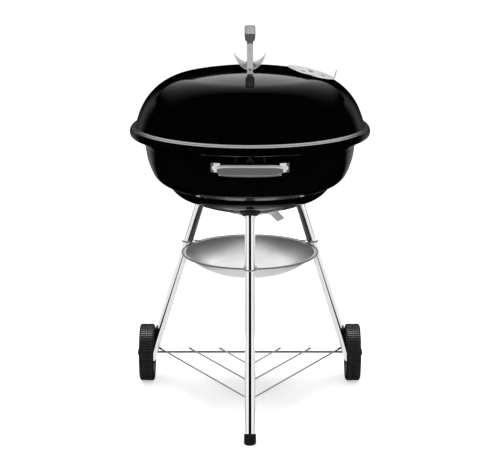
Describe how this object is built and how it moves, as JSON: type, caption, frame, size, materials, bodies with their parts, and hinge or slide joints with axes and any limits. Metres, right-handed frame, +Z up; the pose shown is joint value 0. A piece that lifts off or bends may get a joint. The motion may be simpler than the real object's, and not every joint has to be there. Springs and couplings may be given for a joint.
{
  "type": "kettle charcoal grill",
  "caption": "Round kettle charcoal grill with a domed lid, a stepped bowl, dampers, handles and an ash catcher, on a three-legged wheeled stand with a wire rack",
  "frame": {"origin": "Middle of the overall box at floor level, where the wheels and the foot cap stand", "axes": "+Z is up; -Y is the front, where the single leg and the bowl handle are; +X is the right-hand side seen from the front, along the axle"},
  "size_m": [0.6032, 0.642, 0.9681],
  "materials": {
    "enamel": "glossy black porcelain enamel",
    "leg_chrome": "polished plated tube",
    "black_plastic": "moulded, satin",
    "handle_plastic": "fine grained, satin",
    "wheel_plastic": "moulded, satin",
    "dish_aluminium": "brushed, satin",
    "handle_steel": "brushed",
    "fasteners": "satin plated",
    "rack_wire": "satin plated wire",
    "cooking_chrome": "plated wire",
    "grate_steel": "plain drawn wire"
  },
  "bodies": {
    "stand": {"bowl": "enamel", "bowl_handle_bracket": "handle_steel", "bowl_handle_grip": "handle_plastic", "bowl_handle_bolts": "fasteners", "bowl_damper_rivet": "fasteners", "leg_socket_front": "black_plastic", "leg_socket_left": "black_plastic", "leg_socket_right": "black_plastic", "leg_front": "leg_chrome", "leg_left": "leg_chrome", "leg_right": "leg_chrome", "leg_collar_front": "leg_chrome", "leg_collar_left": "leg_chrome", "leg_collar_right": "leg_chrome", "foot_cap": "black_plastic", "axle": "rack_wire", "axle_cap_left": "fasteners", "axle_cap_right": "fasteners", "wire_rack": "rack_wire", "ash_catcher": "dish_aluminium", "ash_catcher_clip_front": "rack_wire", "ash_catcher_clip_left": "rack_wire", "ash_catcher_clip_right": "rack_wire"},
    "lid": {"lid": "enamel", "lid_damper_rivet": "fasteners", "lid_handle_strap": "handle_steel", "lid_handle_grip": "handle_plastic", "lid_handle_screws": "fasteners", "lid_handle_bolts": "fasteners", "lid_handle_heat_shield": "handle_steel"},
    "lid_damper": {"lid_damper": "dish_aluminium"},
    "bowl_damper": {"bowl_damper": "dish_aluminium"},
    "wheel_left": {"wheel_left": "wheel_plastic"},
    "wheel_right": {"wheel_right": "wheel_plastic"},
    "cooking_grate": {"cooking_grate": "cooking_chrome"},
    "charcoal_grate": {"charcoal_grate": "grate_steel"}
  },
  "joints": [
    {"name": "lid_lift", "type": "slide", "parent": "stand", "child": "lid", "axis": [0, 0, 1], "range_m": [0, 0.3]},
    {"name": "lid_damper_turn", "type": "hinge", "parent": "lid", "child": "lid_damper", "pos_m": [0.15, 0.02165, 0.8519], "axis": [0.2588, 0, 0.9659], "range_deg": [0, 60]},
    {"name": "bowl_damper_turn", "type": "hinge", "parent": "stand", "child": "bowl_damper", "pos_m": [0, 0.02165, 0.5035], "axis": [0, 0, 1], "range_deg": [0, 60]},
    {"name": "wheel_left_spin", "type": "hinge", "parent": "stand", "child": "wheel_left", "pos_m": [-0.275, 0.17207, 0.076], "axis": [1, 0, 0], "continuous": true},
    {"name": "wheel_right_spin", "type": "hinge", "parent": "stand", "child": "wheel_right", "pos_m": [0.275, 0.17207, 0.076], "axis": [1, 0, 0], "continuous": true},
    {"name": "cooking_grate_lift", "type": "slide", "parent": "stand", "child": "cooking_grate", "axis": [0, 0, 1], "range_m": [0, 0.02]},
    {"name": "charcoal_grate_lift", "type": "slide", "parent": "stand", "child": "charcoal_grate", "axis": [0, 0, 1], "range_m": [0, 0.08]}
  ]
}
